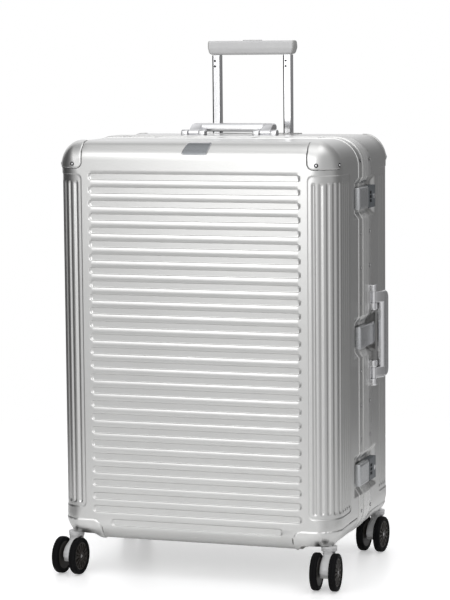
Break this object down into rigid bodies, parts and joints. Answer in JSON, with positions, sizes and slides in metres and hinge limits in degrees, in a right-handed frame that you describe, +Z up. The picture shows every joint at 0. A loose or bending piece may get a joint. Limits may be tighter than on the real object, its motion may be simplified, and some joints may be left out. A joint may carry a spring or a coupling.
{
  "type": "hard shell suitcase on wheels",
  "caption": "Upright grooved aluminium suitcase with riveted frame, side latches, folding carry handles, telescopic trolley handle and twin-wheel swivel casters.",
  "frame": {"origin": "on the floor, under the middle of the bounding box in the rest pose", "axes": "+Z up, -Y towards the front panel, +X towards the side with the latches and the side carry handle; the hinges are on -X"},
  "size_m": [0.5447, 0.4134, 0.9435],
  "materials": {
    "shell_aluminium": "satin anodised",
    "frame_aluminium": "satin anodised",
    "cast_aluminium": "satin",
    "bright_steel": "polished",
    "pin_steel": "satin",
    "lock_metal": "satin dark grey",
    "latch_metal": "satin",
    "black_plastic": "matte",
    "grey_plastic": "satin",
    "tube_aluminium": "satin anodised",
    "tread_rubber": "matte",
    "lining_cloth": "woven",
    "strap_webbing": "woven",
    "badge_metal": "satin"
  },
  "bodies": {
    "rear_half": {"rear_shell": "shell_aluminium", "rear_frame_rail": "frame_aluminium", "rear_top_guards": "cast_aluminium", "rear_bottom_castings": "cast_aluminium", "rear_rivets": "bright_steel", "hinge_leaves_rear": "pin_steel", "hinge_pins": "pin_steel", "trolley_sleeves": "tube_aluminium", "trolley_bezel": "black_plastic", "carry_handle_mounts": "cast_aluminium", "carry_handle_pins": "pin_steel", "lock_bodies": "lock_metal", "lock_key_cylinders": "bright_steel", "centre_latch_base": "latch_metal", "centre_latch_pin": "pin_steel", "rear_lining": "lining_cloth", "packing_straps": "strap_webbing"},
    "lid": {"front_shell": "shell_aluminium", "front_frame_rail": "frame_aluminium", "front_top_guards": "cast_aluminium", "front_bottom_castings": "cast_aluminium", "front_rivets": "bright_steel", "hinge_leaves_front": "pin_steel", "badge_plate": "badge_metal", "latch_bases": "latch_metal", "latch_pins": "pin_steel", "centre_latch_catch": "latch_metal", "front_lining": "lining_cloth"},
    "trolley_middle": {"trolley_middle_tubes": "tube_aluminium"},
    "trolley_inner": {"trolley_inner_tubes": "tube_aluminium", "trolley_grip": "grey_plastic"},
    "trolley_button": {"trolley_button": "black_plastic"},
    "top_handle": {"top_carry_handle": "cast_aluminium"},
    "side_handle": {"side_carry_handle": "cast_aluminium"},
    "upper_lever": {"upper_latch_lever": "lock_metal"},
    "lower_lever": {"lower_latch_lever": "lock_metal"},
    "centre_lever": {"centre_latch_lever": "latch_metal"},
    "upper_dial_1": {"upper_dial_1": "black_plastic"},
    "upper_dial_2": {"upper_dial_2": "black_plastic"},
    "upper_dial_3": {"upper_dial_3": "black_plastic"},
    "lower_dial_1": {"lower_dial_1": "black_plastic"},
    "lower_dial_2": {"lower_dial_2": "black_plastic"},
    "lower_dial_3": {"lower_dial_3": "black_plastic"},
    "front_left_caster": {"front_left_fork": "grey_plastic", "front_left_axle": "pin_steel"},
    "front_left_outer": {"front_left_wheel_outer": "tread_rubber"},
    "front_left_inner": {"front_left_wheel_inner": "tread_rubber"},
    "front_right_caster": {"front_right_fork": "grey_plastic", "front_right_axle": "pin_steel"},
    "front_right_outer": {"front_right_wheel_outer": "tread_rubber"},
    "front_right_inner": {"front_right_wheel_inner": "tread_rubber"},
    "rear_left_caster": {"rear_left_fork": "grey_plastic", "rear_left_axle": "pin_steel"},
    "rear_left_outer": {"rear_left_wheel_outer": "tread_rubber"},
    "rear_left_inner": {"rear_left_wheel_inner": "tread_rubber"},
    "rear_right_caster": {"rear_right_fork": "grey_plastic", "rear_right_axle": "pin_steel"},
    "rear_right_outer": {"rear_right_wheel_outer": "tread_rubber"},
    "rear_right_inner": {"rear_right_wheel_inner": "tread_rubber"}
  },
  "joints": [
    {"name": "lid_hinge", "type": "hinge", "parent": "rear_half", "child": "lid", "pos_m": [-0.26915, 0.016, 0.421], "axis": [0, 0, -1], "range_deg": [0, 180]},
    {"name": "trolley_middle_slide", "type": "slide", "parent": "rear_half", "child": "trolley_middle", "axis": [0, 0, 1], "range_m": [0, 0.17]},
    {"name": "trolley_inner_slide", "type": "slide", "parent": "trolley_middle", "child": "trolley_inner", "axis": [0, 0, 1], "range_m": [-0.17, 0]},
    {"name": "trolley_button_press", "type": "slide", "parent": "trolley_inner", "child": "trolley_button", "axis": [0, 0, 1], "range_m": [-0.0025, 0], "stiffness_N_per_m": 800, "springref_m": 0.002},
    {"name": "top_handle_fold", "type": "hinge", "parent": "rear_half", "child": "top_handle", "pos_m": [-0.01165, 0.0495, 0.7772], "axis": [1, 0, 0], "range_deg": [0, 90], "stiffness_Nm_per_rad": 0.12, "springref_deg": -20.05},
    {"name": "side_handle_fold", "type": "hinge", "parent": "rear_half", "child": "side_handle", "pos_m": [0.25655, 0.0495, 0.417], "axis": [0, 0, -1], "range_deg": [0, 90], "stiffness_Nm_per_rad": 0.12, "springref_deg": -20.05},
    {"name": "upper_lever_flip", "type": "hinge", "parent": "lid", "child": "upper_lever", "pos_m": [0.25035, -0.036, 0.666], "axis": [0, 0, -1], "range_deg": [0, 95]},
    {"name": "lower_lever_flip", "type": "hinge", "parent": "lid", "child": "lower_lever", "pos_m": [0.25035, -0.036, 0.177], "axis": [0, 0, -1], "range_deg": [0, 95]},
    {"name": "centre_lever_flip", "type": "hinge", "parent": "rear_half", "child": "centre_lever", "pos_m": [0.25035, 0.055, 0.421], "axis": [0, 0, 1], "range_deg": [0, 90]},
    {"name": "upper_dial_1_turn", "type": "hinge", "parent": "rear_half", "child": "upper_dial_1", "pos_m": [0.25095, 0.032, 0.6734], "axis": [0, 0, 1], "continuous": true},
    {"name": "upper_dial_2_turn", "type": "hinge", "parent": "rear_half", "child": "upper_dial_2", "pos_m": [0.25095, 0.032, 0.666], "axis": [0, 0, 1], "continuous": true},
    {"name": "upper_dial_3_turn", "type": "hinge", "parent": "rear_half", "child": "upper_dial_3", "pos_m": [0.25095, 0.032, 0.6586], "axis": [0, 0, 1], "continuous": true},
    {"name": "lower_dial_1_turn", "type": "hinge", "parent": "rear_half", "child": "lower_dial_1", "pos_m": [0.25095, 0.032, 0.1844], "axis": [0, 0, 1], "continuous": true},
    {"name": "lower_dial_2_turn", "type": "hinge", "parent": "rear_half", "child": "lower_dial_2", "pos_m": [0.25095, 0.032, 0.177], "axis": [0, 0, 1], "continuous": true},
    {"name": "lower_dial_3_turn", "type": "hinge", "parent": "rear_half", "child": "lower_dial_3", "pos_m": [0.25095, 0.032, 0.1696], "axis": [0, 0, 1], "continuous": true},
    {"name": "front_left_swivel", "type": "hinge", "parent": "lid", "child": "front_left_caster", "pos_m": [-0.24165, -0.147, 0.07], "axis": [0, 0, 1], "continuous": true},
    {"name": "front_left_outer_spin", "type": "hinge", "parent": "front_left_caster", "child": "front_left_outer", "pos_m": [-0.2599, -0.17139, 0.03275], "axis": [0.9976, -0.0698, 0], "continuous": true},
    {"name": "front_left_inner_spin", "type": "hinge", "parent": "front_left_caster", "child": "front_left_inner", "pos_m": [-0.22698, -0.17369, 0.03275], "axis": [0.9976, -0.0698, 0], "continuous": true},
    {"name": "front_right_swivel", "type": "hinge", "parent": "lid", "child": "front_right_caster", "pos_m": [0.22835, -0.147, 0.07], "axis": [0, 0, 1], "continuous": true},
    {"name": "front_right_outer_spin", "type": "hinge", "parent": "front_right_caster", "child": "front_right_outer", "pos_m": [0.24617, -0.1717, 0.03275], "axis": [0.9986, 0.0523, 0], "continuous": true},
    {"name": "front_right_inner_spin", "type": "hinge", "parent": "front_right_caster", "child": "front_right_inner", "pos_m": [0.21321, -0.17343, 0.03275], "axis": [0.9986, 0.0523, 0], "continuous": true},
    {"name": "rear_left_swivel", "type": "hinge", "parent": "rear_half", "child": "rear_left_caster", "pos_m": [-0.24165, 0.179, 0.07], "axis": [0, 0, 1], "continuous": true},
    {"name": "rear_left_outer_spin", "type": "hinge", "parent": "rear_left_caster", "child": "rear_left_outer", "pos_m": [-0.25725, 0.15284, 0.03275], "axis": [0.9994, 0.0349, 0], "continuous": true},
    {"name": "rear_left_inner_spin", "type": "hinge", "parent": "rear_left_caster", "child": "rear_left_inner", "pos_m": [-0.22427, 0.15399, 0.03275], "axis": [0.9994, 0.0349, 0], "continuous": true},
    {"name": "rear_right_swivel", "type": "hinge", "parent": "rear_half", "child": "rear_right_caster", "pos_m": [0.22835, 0.179, 0.07], "axis": [0, 0, 1], "continuous": true},
    {"name": "rear_right_outer_spin", "type": "hinge", "parent": "rear_right_caster", "child": "rear_right_outer", "pos_m": [0.24302, 0.15231, 0.03275], "axis": [0.9976, -0.0698, 0], "continuous": true},
    {"name": "rear_right_inner_spin", "type": "hinge", "parent": "rear_right_caster", "child": "rear_right_inner", "pos_m": [0.2101, 0.15461, 0.03275], "axis": [0.9976, -0.0698, 0], "continuous": true}
  ]
}
